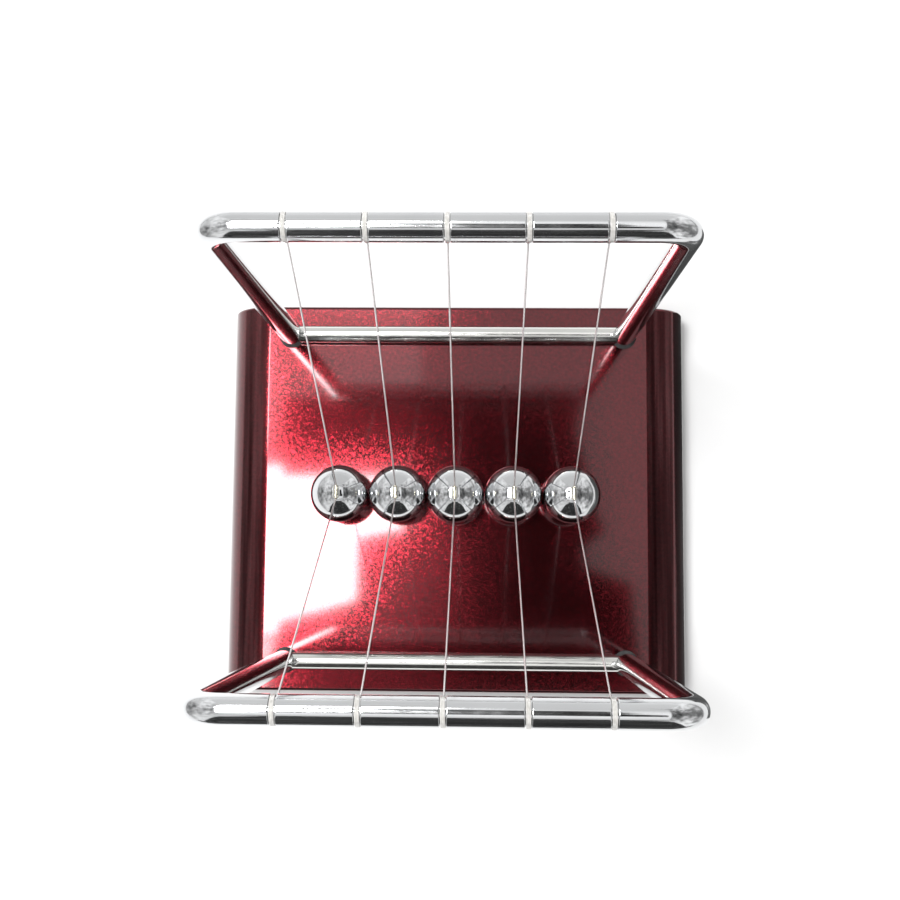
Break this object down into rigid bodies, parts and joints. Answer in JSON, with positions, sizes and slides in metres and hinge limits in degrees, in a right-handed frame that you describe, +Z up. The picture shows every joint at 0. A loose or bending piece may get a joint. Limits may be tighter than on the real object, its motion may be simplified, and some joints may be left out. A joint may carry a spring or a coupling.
{
  "type": "newton's cradle",
  "caption": "Desk pendulum toy: a row of steel balls on V-shaped strings between two chromed tube frames that stand on a red lacquered base with rounded shoulders.",
  "frame": {"origin": "centre of the object's outline, on the surface that its feet stand on", "axes": "+X along the row of balls, +Y from the front frame to the back frame, +Z up"},
  "size_m": [0.186, 0.154, 0.18],
  "materials": {
    "base_lacquer": "deep red metallic-flake lacquer under a clear gloss coat",
    "cover_plastic": "fine matt moulded texture, black",
    "foot_rubber": "matt black rubber",
    "frame_chrome": "bright chrome plate on steel tube",
    "ball_steel": "polished bearing steel",
    "sleeve_steel": "bright steel with a warm tinge from brazing",
    "zinc_steel": "zinc-plated steel",
    "dark_screw_steel": "black oxide steel",
    "nylon_string": "clear nylon monofilament, faintly pink"
  },
  "bodies": {
    "cradle": {"base_shell": "base_lacquer", "base_bottom_cover": "cover_plastic", "foot_front_left": "foot_rubber", "foot_front_right": "foot_rubber", "foot_back_left": "foot_rubber", "foot_back_right": "foot_rubber", "frame_tube_front": "frame_chrome", "frame_tube_back": "frame_chrome", "stretcher_rod_front": "frame_chrome", "stretcher_rod_back": "frame_chrome", "leg_plug_front_left": "zinc_steel", "leg_plug_front_right": "zinc_steel", "leg_plug_back_left": "zinc_steel", "leg_plug_back_right": "zinc_steel", "leg_washers": "zinc_steel", "leg_screws": "zinc_steel", "cover_screws": "dark_screw_steel", "string_loops_front": "nylon_string", "string_loops_back": "nylon_string"},
    "pendulum_1": {"ball_1": "ball_steel", "ball_sleeve_1": "sleeve_steel", "string_1": "nylon_string"},
    "pendulum_2": {"ball_2": "ball_steel", "ball_sleeve_2": "sleeve_steel", "string_2": "nylon_string"},
    "pendulum_3": {"ball_3": "ball_steel", "ball_sleeve_3": "sleeve_steel", "string_3": "nylon_string"},
    "pendulum_4": {"ball_4": "ball_steel", "ball_sleeve_4": "sleeve_steel", "string_4": "nylon_string"},
    "pendulum_5": {"ball_5": "ball_steel", "ball_sleeve_5": "sleeve_steel", "string_5": "nylon_string"}
  },
  "joints": [
    {"name": "ball_1_swing", "type": "hinge", "parent": "cradle", "child": "pendulum_1", "pos_m": [-0.0446, 0, 0.17078], "axis": [0, -1, 0], "range_deg": [-45, 0.12]},
    {"name": "ball_2_swing", "type": "hinge", "parent": "cradle", "child": "pendulum_2", "pos_m": [-0.0223, 0, 0.17078], "axis": [0, -1, 0], "range_deg": [-0.12, 0.12]},
    {"name": "ball_3_swing", "type": "hinge", "parent": "cradle", "child": "pendulum_3", "pos_m": [0, 0, 0.17078], "axis": [0, -1, 0], "range_deg": [-0.12, 0.12]},
    {"name": "ball_4_swing", "type": "hinge", "parent": "cradle", "child": "pendulum_4", "pos_m": [0.0223, 0, 0.17078], "axis": [0, -1, 0], "range_deg": [-0.12, 0.12]},
    {"name": "ball_5_swing", "type": "hinge", "parent": "cradle", "child": "pendulum_5", "pos_m": [0.0446, 0, 0.17078], "axis": [0, -1, 0], "range_deg": [-0.12, 45]}
  ]
}
